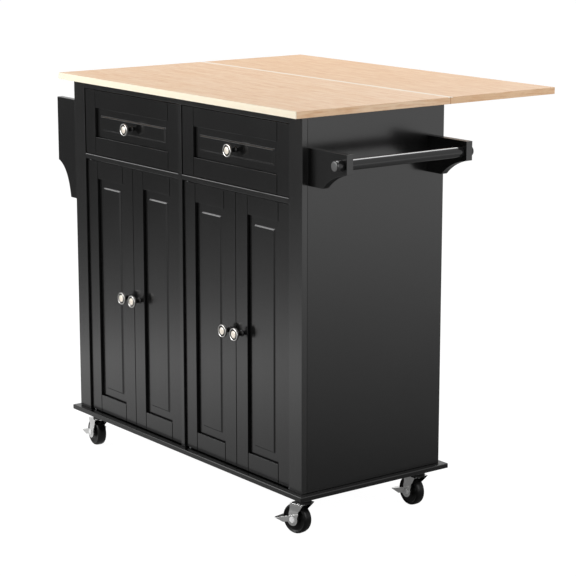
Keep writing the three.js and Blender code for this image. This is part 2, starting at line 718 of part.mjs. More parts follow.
function wheel(name) {
  const halfWidth = casterWheelWidth / 2;
  const bore = axleRadius + boreClearance;
  const half = [
    [bore, halfWidth], [wheelHubRadius, halfWidth], [wheelHubRadius + wheelDish, halfWidth - wheelDish],
    [wheelRimRadius - wheelDish, halfWidth - wheelDish], [wheelRimRadius, halfWidth],
    [casterWheelRadius - treadShoulder, halfWidth - treadShoulder], [casterWheelRadius, halfWidth / 3],
  ];
  const mirrored = half.map(([radius, y]) => [radius, -y]).reverse();
  const profile = [...half, ...mirrored, half[0]];
  return mesh(name, blackRubber, turned(profile, wheelSegments), [-casterTrail, 0, casterWheelRadius]);
}

// The brake lever hangs on the axle outside the fork's legs, with its pedal behind the wheel.
function lever(name) {
  const pedalInner = casterWheelRadius + pedalClearance;
  const pedalMiddle = pedalInner + pedalWidth / 2;
  const pedalTop = -pedalDrop;
  const cheek = new THREE.Shape();
  cheek.absarc(0, 0, leverHubRadius, -5 * Math.PI / 6, Math.PI / 10, false);
  cheek.lineTo(...leverToe);
  cheek.lineTo(...leverBack);
  cheek.lineTo(-pedalMiddle, pedalTop);
  cheek.lineTo(-pedalMiddle, pedalTop - leverThickness);
  cheek.lineTo(...leverHeel);
  const cheeks = [[-leverOuterY, -leverInnerY], [leverInnerY, leverOuterY]].map(
    ([from, to]) => extrude(cheek, 'y', from, to));
  const pedal = block([-pedalInner - pedalWidth, -pedalInner], [-leverOuterY, leverOuterY],
    [pedalTop - leverThickness, pedalTop]);
  const reach = leverOuterY + overlap;
  const bore = rod('y', axleRadius + boreClearance, -reach, reach, [0, 0]);
  const piece = cut(join(pedal, ...cheeks), bore);
  return mesh(name, nickel, piece, [-casterTrail, 0, casterWheelRadius]);
}

function casters() {
  const group = new THREE.Group();
  // Each caster's sides of the island, its turn about the swivel axis and its brake.
  const places = [
    ['front_left', -1, -1, frontLeftTurn, true], ['front_right', 1, -1, frontRightTurn, true],
    ['rear_left', -1, 1, 0, false], ['rear_right', 1, 1, 0, true],
  ];
  const swivelX = halfBasePlate - casterInsetX;
  const frontY = casterInsetY - basePlateFrontOverhang;
  const rearY = cabinetDepth + basePlateBackOverhang - casterInsetY;
  for (const [label, sideX, sideY, turn, hasLever] of places) {
    const swivel = new THREE.Group();
    swivel.add(fork(`${label}_caster_fork`, hasLever), wheel(`${label}_caster_wheel`));
    if (hasLever) swivel.add(lever(`${label}_caster_lever`));
    swivel.rotation.z = turn;
    const caster = new THREE.Group();
    caster.add(casterPlate(`${label}_caster_plate`), swivel);
    caster.position.set(sideX * swivelX, sideY < 0 ? frontY : rearY, 0);
    group.add(caster);
  }
  return group;
}

// ---------------------------------------------------------------- the whole island
const island = new THREE.Group();
island.add(cabinet(), worktop(), fronts(), towelRail(), spiceRack(), casters());
island.add(leafSupport('left', -supportX), leafSupport('right', supportX));

// The outline's middle in X and Y becomes the origin.
const outlineXs = [-halfCabinet - spiceReach, halfCabinet + towelBracketReach];
const outlineYs = [-worktopFrontOverhang, cabinetDepth + seamGap / 2 + leafDepth];
island.position.set(-(outlineXs[0] + outlineXs[1]) / 2, -(outlineYs[0] + outlineYs[1]) / 2, 0);

export default island;
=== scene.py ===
"""A drop leaf kitchen island on casters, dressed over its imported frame.

Everything is in metres in the frame's own axes: X runs along the width, +Y points to the back, where
the leaf is, and +Z is up from the floor. Turned profiles and the casters' own measures are in
millimetres. Other lengths are given times MM.
"""
import math

import bmesh
import bpy
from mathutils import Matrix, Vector


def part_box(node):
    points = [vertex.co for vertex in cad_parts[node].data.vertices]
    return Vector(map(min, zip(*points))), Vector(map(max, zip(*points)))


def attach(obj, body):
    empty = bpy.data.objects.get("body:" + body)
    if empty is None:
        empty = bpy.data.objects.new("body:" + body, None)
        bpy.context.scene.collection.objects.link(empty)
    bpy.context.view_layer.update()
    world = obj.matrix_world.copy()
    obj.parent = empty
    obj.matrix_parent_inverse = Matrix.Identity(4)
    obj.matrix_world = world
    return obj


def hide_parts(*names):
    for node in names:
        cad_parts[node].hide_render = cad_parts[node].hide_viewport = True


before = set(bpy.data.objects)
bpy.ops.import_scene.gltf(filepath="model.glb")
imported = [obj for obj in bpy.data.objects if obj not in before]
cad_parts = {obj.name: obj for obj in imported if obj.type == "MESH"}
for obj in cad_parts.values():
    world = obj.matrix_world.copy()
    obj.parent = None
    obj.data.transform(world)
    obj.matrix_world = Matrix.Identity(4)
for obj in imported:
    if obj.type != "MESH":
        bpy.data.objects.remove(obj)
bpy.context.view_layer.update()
MM = 0.001
WELD = 0.001 * MM                   # corners nearer than this are one
SHARP = 30                          # degrees between two faces, from which their edge is rounded


# ---------------------------------------------------------------- nodes
class Signal:
    """One output in a node tree. Arithmetic on it adds Math nodes."""

    def __init__(self, recipe, socket):
        self.recipe, self.socket = recipe, socket

    def __add__(self, other):
        return self.recipe.math("ADD", self, other)

    def __mul__(self, other):
        return self.recipe.math("MULTIPLY", self, other)

    def __sub__(self, other):
        return self.recipe.math("SUBTRACT", self, other)

    def __rsub__(self, other):
        return self.recipe.math("SUBTRACT", other, self)


class Recipe:
    """The nodes of a material or of the world, around one shader."""

    def __init__(self, owner, shader, **sockets):
        owner.use_nodes = True
        self.owner, self.tree = owner, owner.node_tree
        self.shader = self.tree.nodes[shader]
        self.set(**sockets)

    def node(self, kind, settings=None, inputs=None, output=0):
        """Adds one node: first its settings, then the values or links of its sockets."""
        made = self.tree.nodes.new(kind)
        for name, value in (settings or {}).items():
            if name == "stops":
                ramp = made.color_ramp
                while len(ramp.elements) < len(value):
                    ramp.elements.new(1)
                for element, (position, colour) in zip(ramp.elements, value):
                    element.position, element.color = position, colour
            else:
                setattr(made, name, value)
        for socket, value in (inputs or {}).items():
            self.feed(made.inputs[socket], value)
        return Signal(self, made.outputs[output])

    def feed(self, socket, value):
        if isinstance(value, Signal):
            self.tree.links.new(value.socket, socket)
        else:
            socket.default_value = value

    def math(self, operation, *values):
        return self.node("ShaderNodeMath", {"operation": operation}, dict(enumerate(values)))

    def set(self, **sockets):
        """Sets or feeds the shader's sockets, and gives back the material or world."""
        for name, value in sockets.items():
            self.feed(self.shader.inputs[name.replace("_", " ")], value)
        return self.owner


class Finish(Recipe):
    """A procedural material that reads Object coordinates, in metres."""

    def __init__(self, name, **constants):
        super().__init__(bpy.data.materials.new(name), "Principled BSDF", **constants)
        self.place = self.node("ShaderNodeTexCoord", output="Object")

    def split(self, vector, axis):
        return self.node("ShaderNodeSeparateXYZ", {}, {"Vector": vector}, output=axis)

    def stretched(self, scale):
        return self.node("ShaderNodeMapping", {}, {"Vector": self.place, "Scale": scale})

    def noise(self, where, scale, detail=2, roughness=0.5, distortion=0):
        sockets = {"Vector": where, "Scale": scale, "Detail": detail, "Roughness": roughness,
                   "Distortion": distortion}
        return self.node("ShaderNodeTexNoise", {}, sockets)

    def span(self, value, from_low, from_high, to_low=0.0, to_high=1.0):
        sockets = {"Value": value, "From Min": from_low, "From Max": from_high, "To Min": to_low,
                   "To Max": to_high}
        return self.node("ShaderNodeMapRange", {"clamp": True}, sockets)

    def tint(self, amount, first, second):
        """A colour between two, by an amount from 0 to 1."""
        settings = {"data_type": "RGBA", "clamp_factor": True}
        return self.node("ShaderNodeMix", settings, {0: amount, 6: first, 7: second}, output=2)

    def bump(self, height, distance):
        return self.node("ShaderNodeBump", {}, {"Height": height, "Distance": distance, "Strength": 1.0})


def shade(red, green, blue):
    return (red, green, blue, 1.0)


def grey(level):
    return shade(level, level, level)


def darker(colour, share):
    return shade(*(channel * share for channel in colour[:3]))


# ---------------------------------------------------------------- camera, lamps and room
def set_camera():
    """Stands where the photograph was taken from, with the same width of view."""
    yaw, pitch = 52.96, -12.22
    bpy.ops.object.camera_add(
        location=(3.6530, -2.80365, 1.4339),
        rotation=(math.radians(90 + pitch), 0, math.radians(yaw)),
    )
    camera = bpy.context.object
    camera.data.sensor_width = 36
    camera.data.lens = 125.28
    camera.data.clip_end = 60
    bpy.context.scene.camera = camera


def hang_lamp(name, place, size, power):
    """Hangs a square soft box that faces the island's middle."""
    bpy.ops.object.light_add(type="AREA", location=place)
    lamp = bpy.context.object
    lamp.name = name
    lamp.data.size = size
    lamp.data.energy = power
    island_middle = Vector((0, 0, 0.5))
    towards = island_middle - Vector(place)
    lamp.rotation_euler = towards.to_track_quat("-Z", "Y").to_euler()


def light_world(name, room_level, gloss_level):
    """Fills the room with a soft white light. The camera sees it as white, and gloss as almost white."""
    world = bpy.data.worlds.new(name)
    bpy.context.scene.world = world
    room = Recipe(world, "Background", Color=grey(1))
    seen = room.node("ShaderNodeLightPath", output="Is Camera Ray")
    mirrored = room.node("ShaderNodeLightPath", output="Is Glossy Ray")
    room.set(Strength=seen * (1 - room_level) + room_level + mirrored * (gloss_level - room_level))


# ---------------------------------------------------------------- finishes
def mix_satin_paint(name, darkest, specular):
    """Satin black paint on board: faint brush lines upwards, a slow drift of tone and sheen."""
    paint = Finish(name, Specular_IOR_Level=specular)
    drift = paint.noise(paint.place, 5, detail=3)
    brushed = paint.noise(paint.stretched((1, 1, 0.02)), 240, detail=3)
    tone = paint.tint(drift, grey(darkest), grey(darkest * 1.6))
    sheen = paint.span(drift, 0.3, 0.7, 0.17, 0.20) + brushed * 0.04
    return paint.set(Base_Color=tone, Roughness=sheen, Normal=paint.bump(brushed, 0.008 * MM))


def mix_gloss_paint():
    """Smooth gloss black enamel on the towel rod's tube."""
    enamel = Finish("gloss_black_enamel", Specular_IOR_Level=0.5)
    drift = enamel.noise(enamel.place, 30, detail=3)
    peel = enamel.noise(enamel.place, 260, detail=1)
    tone = enamel.tint(drift, shade(0.007, 0.007, 0.0073), shade(0.011, 0.011, 0.0113))
    return enamel.set(Base_Color=tone, Roughness=enamel.span(drift, 0.3, 0.7, 0.09, 0.13),
                      Normal=enamel.bump(peel, 0.01 * MM))


def mix_lightened_cap():
    """The flat ends of the rod's tube: the black enamel is painted a lighter grey, a painted reflection that
    makes them brighter than the tube.
    """
    cap_finish = Finish("rubbed_black_cap", Specular_IOR_Level=0.6)
    rings = cap_finish.noise(cap_finish.place, 320, detail=3)
    # Painted reflection: the caps' grey tone stands in for the brighter light they mirror.
    tone = cap_finish.tint(rings, grey(0.045), shade(0.075, 0.075, 0.074))
    return cap_finish.set(Base_Color=tone, Roughness=cap_finish.span(rings, 0.3, 0.7, 0.36, 0.46),
                      Normal=cap_finish.bump(rings, 0.02 * MM))


def mix_wood(name, pale, deep, streak, roughness, painted_edge_highlights=()):
    """Lacquered wood with its grain along X: broad bands, fine streaks and short dark pores.

    The boards' ends are lipped, so the grain runs along Y there. Each painted edge highlight is a lighter
    band on a front edge of a board, where light catches it: its place along Y, its lowest place along Z, its
    half width and its colour.
    """
    wood = Finish(name, Specular_IOR_Level=0.35)
    sideways = wood.split(wood.node("ShaderNodeNewGeometry", output="Normal"), "X")
    lipped = wood.math("GREATER_THAN", wood.math("ABSOLUTE", sideways), 0.75)
    runs = {0: lipped, 4: wood.stretched((3.6, 42, 42)), 5: wood.stretched((42, 3.6, 42))}
    along = wood.node("ShaderNodeMix", {"data_type": "VECTOR"}, runs, output=1)
    band = wood.noise(along, 1.6, detail=4, roughness=0.6, distortion=0.4)
    grain = wood.noise(along, 5.6, detail=5, roughness=0.62, distortion=0.2)
    pore = wood.noise(wood.stretched((14, 420, 420)), 1.5, detail=3, roughness=0.6)
    base = wood.tint(wood.span(band, 0.34, 0.66), pale, deep)
    streaked = wood.tint(wood.span(grain, 0.45, 0.72) * 0.8, base, streak)
    pores = wood.span(pore, 0.56, 0.78)
    colour = wood.tint(pores * 0.4, streaked, darker(streak, 0.72))
    depth, height = wood.split(wood.place, "Y"), wood.split(wood.place, "Z")
    # Painted highlights: each band lightens the wood's colour, standing in for light caught on the edge.
    for edge, lowest, arris, tone in painted_edge_highlights:
        near = wood.span(wood.math("ABSOLUTE", depth - edge), arris * 0.7, arris, 0.9, 0)
        colour = wood.tint(near * wood.math("GREATER_THAN", height, lowest), colour, tone)
    sheen = wood.span(grain, 0.3, 0.7, roughness, roughness + 0.1)
    relief = wood.bump(pore * 0.5 + grain * 0.5, 0.06 * MM)
    return wood.set(Base_Color=colour, Roughness=sheen, Normal=relief)


def mix_metal(name, colour, roughness, brushing=(1, 1, 1), scratch=0.01):
    """Plated metal with faint polishing marks along one direction."""
    metal = Finish(name, Metallic=1.0)
    marks = metal.noise(metal.stretched(brushing), 700, detail=3)
    cloud = metal.noise(metal.place, 45, detail=3)
    tone = metal.tint(metal.span(cloud, 0.35, 0.7), colour, darker(colour, 0.82))
    sheen = metal.span(cloud, 0.3, 0.7, roughness, roughness + 0.08) + marks * 0.05
    return metal.set(Base_Color=tone, Roughness=sheen, Normal=metal.bump(marks, scratch * MM))


def mix_dome():
    """The warm satin dome in the middle of each knob."""
    satin = Finish("satin_knob_dome", Metallic=0.35, Specular_IOR_Level=0.6)
    cloud = satin.noise(satin.place, 260, detail=3)
    tone = satin.tint(cloud, shade(0.95, 0.88, 0.78), shade(0.86, 0.78, 0.67))
    return satin.set(Base_Color=tone, Roughness=satin.span(cloud, 0.3, 0.7, 0.3, 0.4),
                     Normal=satin.bump(cloud, 0.01 * MM))


def mix_rubber():
    """Smooth black wheel rubber, a little dusty."""
    rubber = Finish("wheel_rubber", Specular_IOR_Level=0.2)
    dust = rubber.noise(rubber.place, 60, detail=4)
    pit = rubber.noise(rubber.place, 900, detail=2)
    tone = rubber.tint(rubber.span(dust, 0.45, 0.8), grey(0.003), shade(0.007, 0.007, 0.0068))
    sheen = rubber.span(dust, 0.3, 0.75, 0.26, 0.42)
    return rubber.set(Base_Color=tone, Roughness=sheen, Normal=rubber.bump(pit, 0.02 * MM))


FLOOR_REACH = 5                     # metres, from the middle to either end of the zones
# Painted reflections, seen only by gloss: each zone's place across the floor, from in front on the left (0)
# to behind on the right (1), and its grey.
FLOOR_REFLECTION_ZONES = ((0.0, 0.075), (0.12, 0.08), (0.20, 0.155), (0.27, 0.29), (0.32, 0.56), (0.355, 0.84),
               (0.39, 0.65), (0.44, 0.42), (0.48, 0.34), (0.505, 0.12), (0.56, 0.12), (0.62, 0.26),
               (0.74, 0.50), (0.88, 0.80), (1.0, 0.99))
GLOW_SHARE = 0.88                   # of the floor's white. The rest is lit, and keeps the shadow
CAMERA_GLOW, GLOSS_GLOW = 1.12, 1.32


def mix_floor():
    """A white floor that shows as white and keeps a soft shadow of the island.

    Gloss and metal see wide grey zones on it, painted reflections that no camera ray sees. The black paint
    mirrors those as its slow shading from top to bottom.
    """
    floor = Finish("studio_floor", Roughness=0.9, Specular_IOR_Level=0.0)
    grit = floor.noise(floor.place, 3, detail=2)
    floor.set(Base_Color=floor.tint(grit, grey(0.86), grey(0.9)))
    across = floor.node("ShaderNodeVectorMath", {"operation": "DOT_PRODUCT"},
                        {0: floor.place, 1: (0.8, 0.6, 0.0)}, output="Value")
    stops = [(place, grey(level)) for place, level in FLOOR_REFLECTION_ZONES]
    reach = floor.span(across, -FLOOR_REACH, FLOOR_REACH)
    reflection_zones = floor.node("ShaderNodeValToRGB", {"stops": stops}, {"Fac": reach})
    seen = floor.node("ShaderNodeLightPath", output="Is Camera Ray")
    mirrored = floor.node("ShaderNodeLightPath", output="Is Glossy Ray")
    strength = GLOSS_GLOW - seen * (GLOSS_GLOW - CAMERA_GLOW)
    light = {"Color": floor.tint(seen, reflection_zones, grey(1)), "Strength": strength}
    glow = floor.node("ShaderNodeEmission", {}, light)
    shown = floor.math("MAXIMUM", seen, mirrored) * GLOW_SHARE
    plain = Signal(floor, floor.shader.outputs[0])
    blended = floor.node("ShaderNodeMixShader", {}, {0: shown, 1: plain, 2: glow})
    floor.feed(floor.tree.nodes["Material Output"].inputs["Surface"], blended)
    return floor.owner


# ---------------------------------------------------------------- the room and the finishes in use
set_camera()
light_world("white_studio", 0.24, 0.8)
hang_lamp("key_front_left", (-1.5, -3.5, 1.8), 2.0, 104)
hang_lamp("left_soft_box", (-3.0, -1.3, 2.9), 1.5, 19)
hang_lamp("right_soft_box", (4.2, 0.8, 2.1), 2.4, 62)
hang_lamp("back_top_soft_box", (-0.75, 1.8, 3.1), 1.6, 46)

black_paint = mix_satin_paint("satin_black_paint", 0.0022, 0.70)
# Painted light: a lighter copy of the black paint, so the face frame's stiles, rails and decks look more
# brightly lit than the doors.
lightened_stile_paint = mix_satin_paint("satin_black_stile_paint", 0.0060, 0.74)
# Painted shade: a darker copy of the black paint for the base plate, whose top lies in shade and mirrors the
# black cabinet.
darkened_base_paint = mix_satin_paint("satin_black_base_paint", 0.0010, 0.60)
gloss_black = mix_gloss_paint()
lightened_cap_paint = mix_lightened_cap()

FRONT_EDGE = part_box("worktop")[0].y
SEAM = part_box("drop_leaf")[0].y
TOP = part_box("worktop")[1].z
# Painted highlights on the worktop's lit front edge and along the seam with the leaf.
PAINTED_EDGE_HIGHLIGHTS = ((FRONT_EDGE, 0, 1.6 * MM, shade(0.92, 0.85, 0.68)),
              (SEAM, TOP - 1.5 * MM, 7.5 * MM, shade(1.0, 0.90, 0.78)))
pale_wood = mix_wood("worktop_wood", shade(0.94, 0.695, 0.485), shade(0.87, 0.58, 0.355),
                     shade(0.72, 0.40, 0.205), 0.42, PAINTED_EDGE_HIGHLIGHTS)
leaf_wood = mix_wood("leaf_wood", shade(0.90, 0.635, 0.41), shade(0.83, 0.54, 0.32),
                     shade(0.71, 0.39, 0.20), 0.42, PAINTED_EDGE_HIGHLIGHTS)
drawer_wood = mix_wood("drawer_box_wood", shade(0.70, 0.54, 0.35), shade(0.62, 0.46, 0.28),
                       shade(0.50, 0.34, 0.19), 0.6)

nickel = mix_metal("polished_nickel", shade(0.64, 0.63, 0.61), 0.2)
zinc_steel = mix_metal("zinc_plated_steel", shade(0.50, 0.51, 0.52), 0.34, brushing=(1, 1, 0.08),
                       scratch=0.02)
bright_nickel = mix_metal("bright_nickel", shade(0.94, 0.94, 0.93), 0.14)
# Painted shade and reflection: a dark copy of the nickel for the knob stems, which mirror the black doors,
# the knobs' recessed rings, and the casters' raceways and fork insides, which lie in shade.
nickel_dark_for_shade = mix_metal("darkened_nickel", grey(0.055), 0.14)
satin_dome = mix_dome()
black_rubber = mix_rubber()


# ---------------------------------------------------------------- work on one piece
def open_primitive(add, name, **where):
    """Adds a primitive, names it and opens it for editing, with all of it selected."""
    bpy.ops.object.select_all(action="DESELECT")
    add(**where)
    piece = bpy.context.object
    piece.name = piece.data.name = name
    bpy.ops.object.transform_apply(location=True, rotation=True, scale=True)
    bpy.ops.object.mode_set(mode="EDIT")
    bpy.ops.mesh.select_mode(type="VERT")
    bpy.ops.mesh.select_all(action="SELECT")
    return piece


def open_block(name, low, high):
    low, high = Vector(low), Vector(high)
    return open_primitive(bpy.ops.mesh.primitive_cube_add, name, size=1, location=(low + high) / 2,
                          scale=high - low)


def pick_faces(piece, wanted):
    """Selects the faces that the test accepts, by their middle and their normal."""
    bpy.ops.mesh.select_mode(type="FACE")
    bpy.ops.mesh.select_all(action="DESELECT")
    shape = bmesh.from_edit_mesh(piece.data)
    for face in shape.faces:
        if wanted(face.calc_center_median(), face.normal):
            face.select_set(True)
    bmesh.update_edit_mesh(piece.data)


def pick_edges(piece, wanted):
    """Selects the edges that the test accepts, by their two ends."""
    bpy.ops.mesh.select_mode(type="EDGE")
    bpy.ops.mesh.select_all(action="DESELECT")
    shape = bmesh.from_edit_mesh(piece.data)
    for edge in shape.edges:
        if wanted(*(corner.co for corner in edge.verts)):
            edge.select_set(True)
    bmesh.update_edit_mesh(piece.data)


def push(distance, direction):
    """Extrudes what is selected along a direction."""
    bpy.ops.mesh.extrude_region_move(TRANSFORM_OT_translate={"value": Vector(direction) * distance})


def close_up(piece):
    """Merges doubled corners, turns the faces outwards and leaves edit mode."""
    bpy.ops.mesh.select_mode(type="VERT")
    bpy.ops.mesh.select_all(action="SELECT")
    bpy.ops.mesh.remove_doubles(threshold=WELD)
    bpy.ops.mesh.normals_make_consistent(inside=False)
    bpy.ops.object.mode_set(mode="OBJECT")
    return piece


def ease(piece, width, segments=2, angle=SHARP):
    """Rounds the sharp edges and shades the roundings smoothly between flat faces."""
    bpy.context.view_layer.objects.active = piece
    bpy.ops.object.shade_smooth()
    rounding = piece.modifiers.new("eased_edges", "BEVEL")
    rounding.width = width
    rounding.segments = segments
    rounding.limit_method = "ANGLE"
    rounding.angle_limit = math.radians(angle)
    rounding.harden_normals = True
    bpy.ops.object.modifier_apply(modifier=rounding.name)
    return piece


def draw_chain(name, spots):
    """Draws edges from spot to spot and leaves them open for editing."""
    piece = open_primitive(bpy.ops.mesh.primitive_plane_add, name, size=MM, location=spots[0])
    bpy.ops.mesh.merge(type="CENTER")
    for here, there in zip(spots, spots[1:]):
        bpy.ops.mesh.extrude_vertices_move(TRANSFORM_OT_translate={"value": there - here})
    return piece


def saw_board(name, spots, thickness, direction):
    """Cuts a board to an outline and gives it its thickness along a direction."""
    piece = draw_chain(name, spots)
    bpy.ops.mesh.select_all(action="SELECT")
    bpy.ops.mesh.edge_face_add()
    push(thickness, direction)
    return close_up(piece)


def turn(name, profile, foot, axis, steps=48, smooth=35):
    """Turns a (radius, rise) profile, in millimetres, about an axis through its foot."""
    foot, axis = Vector(foot), Vector(axis)
    out = axis.orthogonal().normalized()
    spots = [foot + out * (radius * MM) + axis * (rise * MM) for radius, rise in profile]
    piece = draw_chain(name, spots)
    bpy.ops.mesh.select_all(action="SELECT")
    bpy.ops.mesh.spin(steps=steps, angle=2 * math.pi, center=foot, axis=axis)
    close_up(piece)
    bpy.ops.object.shade_smooth_by_angle(angle=math.radians(smooth))
    return piece


def copy_piece(piece, name, shift, turned=0):
    """Copies a finished piece with its own mesh, turns it about the Z axis and moves the copy."""
    bpy.ops.object.select_all(action="DESELECT")
    piece.select_set(True)
    bpy.context.view_layer.objects.active = piece
    bpy.ops.object.duplicate(linked=False)
    made = bpy.context.object
    made.name = made.data.name = name
    made.location, made.rotation_euler.z = shift, turned
    bpy.ops.object.transform_apply(location=True, rotation=True, scale=False)
    return made


def unite(name, pieces):
    """Joins pieces that are one part of the real thing."""
    bpy.ops.object.select_all(action="DESELECT")
    for piece in pieces:
        piece.select_set(True)
    bpy.context.view_layer.objects.active = pieces[0]
    bpy.ops.object.join()
    pieces[0].name = pieces[0].data.name = name
    return pieces[0]


def fit(piece, finish, body, *nodes):
    """Gives a piece its finish and puts it on its body, in place of the CAD nodes named."""
    if piece.data.materials:
        piece.data.materials[0] = finish
    else:
        piece.data.materials.append(finish)
    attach(piece, body)
    if nodes:
        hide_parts(*nodes)


def dress(node, finish, rounding, segments=2):
    """Keeps a CAD node's shape, gives it its finish and eases its edges, by a width in millimetres."""
    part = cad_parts[node]
    for place in part.material_slots:
        place.material = finish
    joined = part.modifiers.new("joined_corners", "WELD")
    joined.merge_threshold = WELD
    eased = part.modifiers.new("eased_edges", "BEVEL")
    eased.width = rounding * MM
    eased.segments = segments
    eased.limit_method = "ANGLE"
    eased.angle_limit = math.radians(SHARP)


def middle(node):
    low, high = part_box(node)
    return (low + high) / 2


# ---------------------------------------------------------------- carcass, worktop and leaf
dress("base_plate", darkened_base_paint, 1.8, 3)
for node in ("left_side_panel", "right_side_panel", "back_panel"):
    dress(node, black_paint, 0.6)
for node in ("left_stile", "right_stile", "top_rail", "center_divider"):
    dress(node, lightened_stile_paint, 0.6)
for node in ("left_drawer_deck", "right_drawer_deck"):
    dress(node, lightened_stile_paint, 0.9, 1)
for node in ("left_shelf", "right_shelf", "spice_rack_shelf", "spice_rack_rail"):
    dress(node, black_paint, 1.0)
dress("worktop", pale_wood, 0.9, 3)
dress("drop_leaf", leaf_wood, 0.9, 3)
for side in ("left", "right"):
    for place in ("outer", "inner"):
        dress(f"{side}_drawer_{place}_runner", drawer_wood, 0.8)
    dress(f"{side}_leaf_guide", zinc_steel, 0.35)
    dress(f"{side}_leaf_arm", zinc_steel, 0.35)
    dress(f"{side}_leaf_strut", zinc_steel, 0.35)


# ---------------------------------------------------------------- framed doors and drawer fronts
FRAME_WIDTH = 41.5 * MM
FRONT_THICKNESS = 18 * MM
RECESS_DEPTH = 6.5 * MM
GROOVE_DEPTH = 3 * MM               # of the shadow groove, below the recess
PANEL_BACK = 1.5 * MM               # from a panel's back to the front's back
FIELD_HEIGHT = 2.8 * MM
FIELD_BEVEL = 2.8 * MM
DOOR_FIELD_INSET = 22.5 * MM
DRAWER_FIELD_INSET = 20.5 * MM
SHADOW_GROOVE = 1.4 * MM
STILE_ARRIS = 0.7 * MM
FINE_ARRIS = 0.5 * MM               # on the rails and panels
JOINT_WIDTH = 2.0 * MM              # open line between a rail and its stiles
JOINT_DEPTH = 4 * MM
PIN_LENGTH = 8.2 * MM               # of a door's pivot pins, past its ends
PIN_SUNK = 1 * MM                   # of each pin, in the door
PIN_INSET = 8 * MM                  # from the hinge edge to a pin's middle
PIN_DEPTH = 4.5 * MM                # from the door's face to a pin's middle


def frame_stile(name, low, high):
    return ease(close_up(open_block(name, low, high)), STILE_ARRIS, 3)


def frame_rail(name, low, high):
    """A rail with a rebate at each end of its face, so that its joints show as dark lines."""
    left, right, rebate_y = low.x + JOINT_WIDTH, high.x - JOINT_WIDTH, low.y + JOINT_DEPTH
    spots = [(low.x, high.y), (low.x, rebate_y), (left, rebate_y), (left, low.y), (right, low.y),
             (right, rebate_y), (high.x, rebate_y), (high.x, high.y)]
    rail = saw_board(name, [Vector((x, y, low.z)) for x, y in spots], high.z - low.z, (0, 0, 1))
    return ease(rail, FINE_ARRIS, 3)


def raised_panel(name, low, high, face_y, field_inset):
    """The panel inside the frame: a shadow groove all round, then the bevelled field."""
    groove_y = face_y + RECESS_DEPTH + GROOVE_DEPTH
    back_y = face_y + FRONT_THICKNESS - PANEL_BACK
    panel = open_block(name, (low.x, groove_y, low.z), (high.x, back_y, high.z))
    pick_faces(panel, lambda spot, normal: normal.y < -0.9)
    bpy.ops.mesh.inset(thickness=SHADOW_GROOVE, depth=0)
    push(GROOVE_DEPTH, (0, -1, 0))
    bpy.ops.mesh.inset(thickness=field_inset - FIELD_BEVEL - SHADOW_GROOVE, depth=0)
    bpy.ops.mesh.inset(thickness=FIELD_BEVEL, depth=FIELD_HEIGHT)
    return ease(close_up(panel), FINE_ARRIS, 2, angle=20)


def framed_front(label, low, high, field_inset):
    """Two stiles, two rails between them and the raised panel, as separate pieces."""
    face_y, back_y = low.y, low.y + FRONT_THICKNESS
    inner_low = Vector((low.x + FRAME_WIDTH, low.y, low.z + FRAME_WIDTH))
    inner_high = Vector((high.x - FRAME_WIDTH, back_y, high.z - FRAME_WIDTH))
    return {
        "left_stile": frame_stile(f"{label}_left_stile", low, (inner_low.x, back_y, high.z)),
        "right_stile": frame_stile(f"{label}_right_stile", (inner_high.x, face_y, low.z), high),
        "top_rail": frame_rail(f"{label}_top_rail", Vector((inner_low.x, face_y, inner_high.z)),
                               Vector((inner_high.x, back_y, high.z))),
        "bottom_rail": frame_rail(f"{label}_bottom_rail", Vector((inner_low.x, face_y, low.z)),
                                  Vector((inner_high.x, back_y, inner_low.z))),
        "panel": raised_panel(f"{label}_panel", inner_low, inner_high, face_y, field_inset),
    }


def fit_front(pattern, shift, body, node):
    for place, part in pattern.items():
        fit(copy_piece(part, f"{node}_{place}", shift), black_paint, body, node)


def discard(parts):
    for part in parts:
        bpy.data.objects.remove(part)


def door_pin(name, spot, body, node):
    """A pivot pin that stands out of the door's end and is sunk in it a little."""
    length = (PIN_LENGTH + PIN_SUNK) / MM
    profile = [(0, 0), (1.7, 0), (2.0, 0.3), (2.0, length - 0.4), (1.6, length), (0, length)]
    fit(turn(name, profile, spot, (0, 0, 1), steps=24), zinc_steel, body, node)


# Each door's node and body, and the side of its hinge.
DOORS = (("door_1", "door_one", "left"), ("door_2", "door_two", "right"),
         ("door_3", "door_three", "left"), ("door_4", "door_four", "right"))

low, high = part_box("door_1")
pin_room = Vector((0, 0, PIN_LENGTH))
door_pattern = framed_front("door_pattern", low + pin_room, high - pin_room, DOOR_FIELD_INSET)
for node, body, hinge_side in DOORS:
    low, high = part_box(node)
    fit_front(door_pattern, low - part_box("door_1")[0], body, node)
    pin_x = low.x + PIN_INSET if hinge_side == "left" else high.x - PIN_INSET
    pin_y = low.y + PIN_DEPTH
    door_pin(f"{node}_lower_pin", (pin_x, pin_y, low.z), body, node)
    door_pin(f"{node}_upper_pin", (pin_x, pin_y, high.z - PIN_LENGTH - PIN_SUNK), body, node)
discard(door_pattern.values())

low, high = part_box("left_drawer_front")
drawer_pattern = framed_front("drawer_pattern", low, high, DRAWER_FIELD_INSET)
for side in ("left", "right"):
    node = f"{side}_drawer_front"
    fit_front(drawer_pattern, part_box(node)[0] - low, f"{side}_drawer", node)
discard(drawer_pattern.values())


